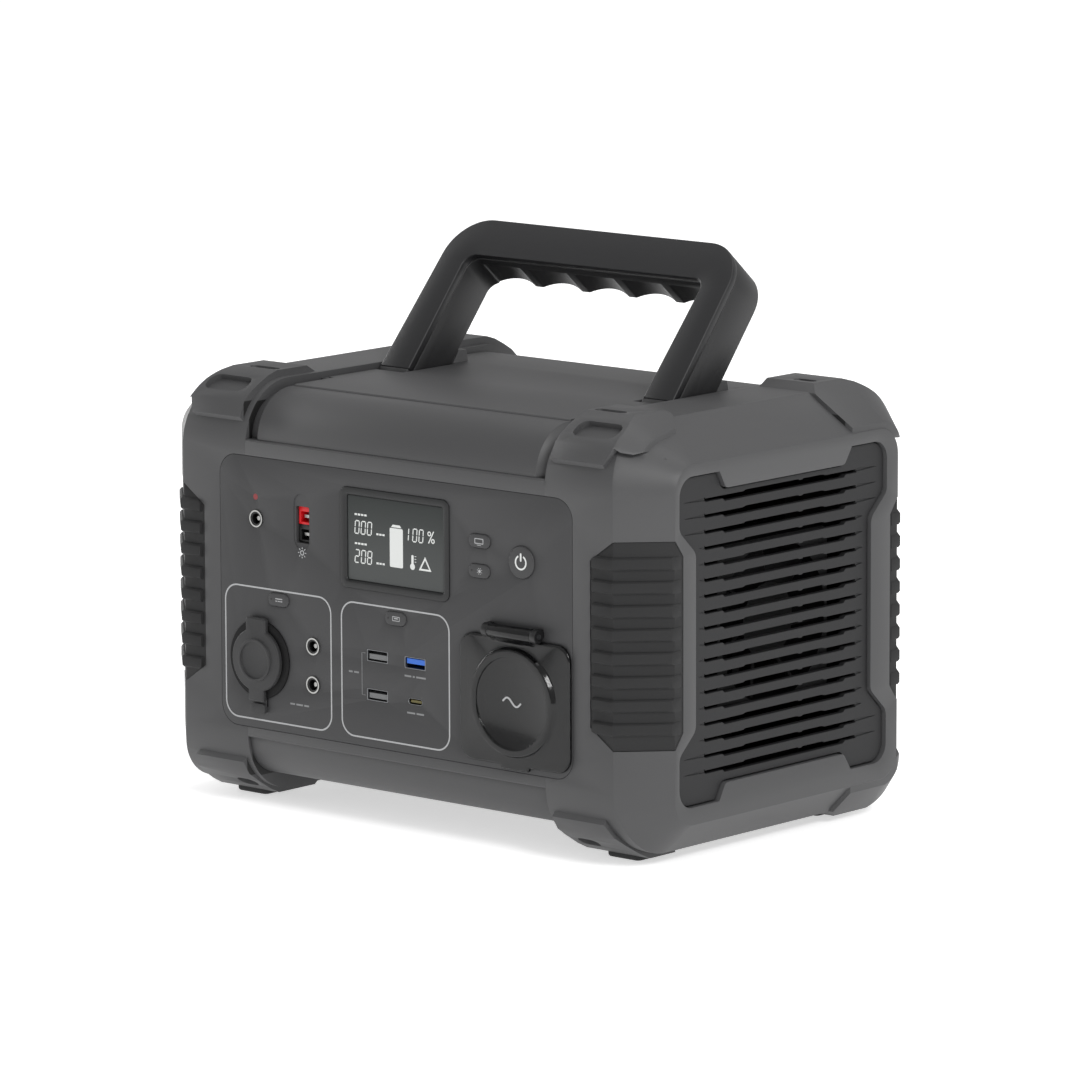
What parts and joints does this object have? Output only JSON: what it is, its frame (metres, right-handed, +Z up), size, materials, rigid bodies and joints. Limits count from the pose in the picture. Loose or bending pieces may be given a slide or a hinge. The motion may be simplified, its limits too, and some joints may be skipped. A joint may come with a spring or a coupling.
{
  "type": "portable power station",
  "caption": "Portable battery power station with ribbed corner bumpers, a leaning carry handle, slotted side vents, and a front panel with screen, keys, capped sockets and USB ports.",
  "frame": {"origin": "middle of the footprint, on the floor", "axes": "+Z up, control panel faces -Y, +X to the right seen from the front, handle leans back towards +Y at rest"},
  "size_m": [0.3084, 0.2106, 0.2691],
  "materials": {
    "case_plastic": "fine moulded grain, charcoal grey",
    "panel_plastic": "satin, fine grain",
    "vent_plastic": "fine moulded grain",
    "grip_rubber": "soft matt rubber",
    "handle_plastic": "fine moulded grain",
    "handle_cover_plastic": "satin",
    "black_plastic": "satin",
    "button_plastic": "satin",
    "smoked_cover": "glossy, dark smoked",
    "screen_glass": "clear anti-glare window",
    "screen": "dark grey liquid crystal screen",
    "red_plastic": "satin red",
    "indicator": "translucent red",
    "blue_plastic": "satin blue",
    "steel": "plain steel",
    "nickel": "nickel plated",
    "cell_wrap": "heat-shrink sleeve",
    "lead_insulation": "silicone lead",
    "board": "green solder mask",
    "switch_plastic": "satin",
    "heatsink_aluminium": "extruded",
    "chassis_sheet": "zinc-grey sheet",
    "transformer": "wound core and capacitor sleeves",
    "fan_plastic": "satin black"
  },
  "bodies": {
    "body": {"left_end_cap": "case_plastic", "right_end_cap": "case_plastic", "top_cover": "case_plastic", "bottom_tray": "case_plastic", "front_frame": "case_plastic", "rear_panel": "case_plastic", "top_plate": "case_plastic", "control_panel": "panel_plastic", "left_vent_grille": "vent_plastic", "right_vent_grille": "vent_plastic", "grip_front_left": "grip_rubber", "grip_front_right": "grip_rubber", "grip_rear_left": "grip_rubber", "grip_rear_right": "grip_rubber", "rubber_feet": "grip_rubber", "car_socket_bezel": "black_plastic", "dc_jack_bodies": "black_plastic", "ac_socket_housing": "black_plastic", "pv_housing_black": "black_plastic", "cell_holders": "black_plastic", "fan_frames": "black_plastic", "usb_tongues": "black_plastic", "display_bezel": "smoked_cover", "display_window": "screen_glass", "display_module": "screen", "pv_housing_red": "red_plastic", "input_led": "indicator", "usb_fast_tongue": "blue_plastic", "usb_shells": "steel", "case_screws": "steel", "handle_pivot_pins": "steel", "ac_hinge_pin": "steel", "handle_brackets": "steel", "dc_jack_contacts": "nickel", "pv_contacts": "nickel", "ac_contacts": "nickel", "car_socket_contact": "nickel", "bus_strips": "nickel", "car_socket_barrel": "nickel", "battery_cells": "cell_wrap", "battery_leads": "lead_insulation", "control_board": "board", "inverter_board": "board", "battery_management_board": "board", "tact_switches": "switch_plastic", "inverter_heatsinks": "heatsink_aluminium", "inverter_chassis": "chassis_sheet", "inverter_components": "transformer"},
    "handle": {"handle_frame": "handle_plastic", "handle_front_cover": "handle_cover_plastic"},
    "socket_cap": {"car_socket_cap": "grip_rubber"},
    "ac_flap": {"ac_cover": "smoked_cover"},
    "power_key": {"power_button": "button_plastic"},
    "display_key": {"display_button": "button_plastic"},
    "light_key": {"light_button": "button_plastic"},
    "dc_key": {"dc_button": "button_plastic"},
    "usb_key": {"usb_button": "button_plastic"},
    "fan_left": {"fan_rotor_left": "fan_plastic"},
    "fan_right": {"fan_rotor_right": "fan_plastic"}
  },
  "joints": [
    {"name": "handle_hinge", "type": "hinge", "parent": "body", "child": "handle", "pos_m": [0, 0.0026, 0.1932], "axis": [1, 0, 0], "range_deg": [0, 45]},
    {"name": "car_cap_hinge", "type": "hinge", "parent": "body", "child": "socket_cap", "pos_m": [-0.0849, -0.1013, 0.0535], "axis": [1, 0, 0], "range_deg": [0, 120]},
    {"name": "ac_cover_hinge", "type": "hinge", "parent": "body", "child": "ac_flap", "pos_m": [0.0762, -0.1021, 0.1049], "axis": [-1, 0, 0], "range_deg": [0, 105]},
    {"name": "power_press", "type": "slide", "parent": "body", "child": "power_key", "axis": [0, 1, 0], "range_m": [0, 0.0008], "stiffness_N_per_m": 900},
    {"name": "display_press", "type": "slide", "parent": "body", "child": "display_key", "axis": [0, 1, 0], "range_m": [0, 0.0008], "stiffness_N_per_m": 900},
    {"name": "light_press", "type": "slide", "parent": "body", "child": "light_key", "axis": [0, 1, 0], "range_m": [0, 0.0008], "stiffness_N_per_m": 900},
    {"name": "dc_press", "type": "slide", "parent": "body", "child": "dc_key", "axis": [0, 1, 0], "range_m": [0, 0.0008], "stiffness_N_per_m": 900},
    {"name": "usb_press", "type": "slide", "parent": "body", "child": "usb_key", "axis": [0, 1, 0], "range_m": [0, 0.0008], "stiffness_N_per_m": 900},
    {"name": "fan_left_spin", "type": "hinge", "parent": "body", "child": "fan_left", "pos_m": [-0.134, -0.0001, 0.1045], "axis": [1, 0, 0], "continuous": true},
    {"name": "fan_right_spin", "type": "hinge", "parent": "body", "child": "fan_right", "pos_m": [0.134, -0.0001, 0.1045], "axis": [1, 0, 0], "continuous": true}
  ]
}
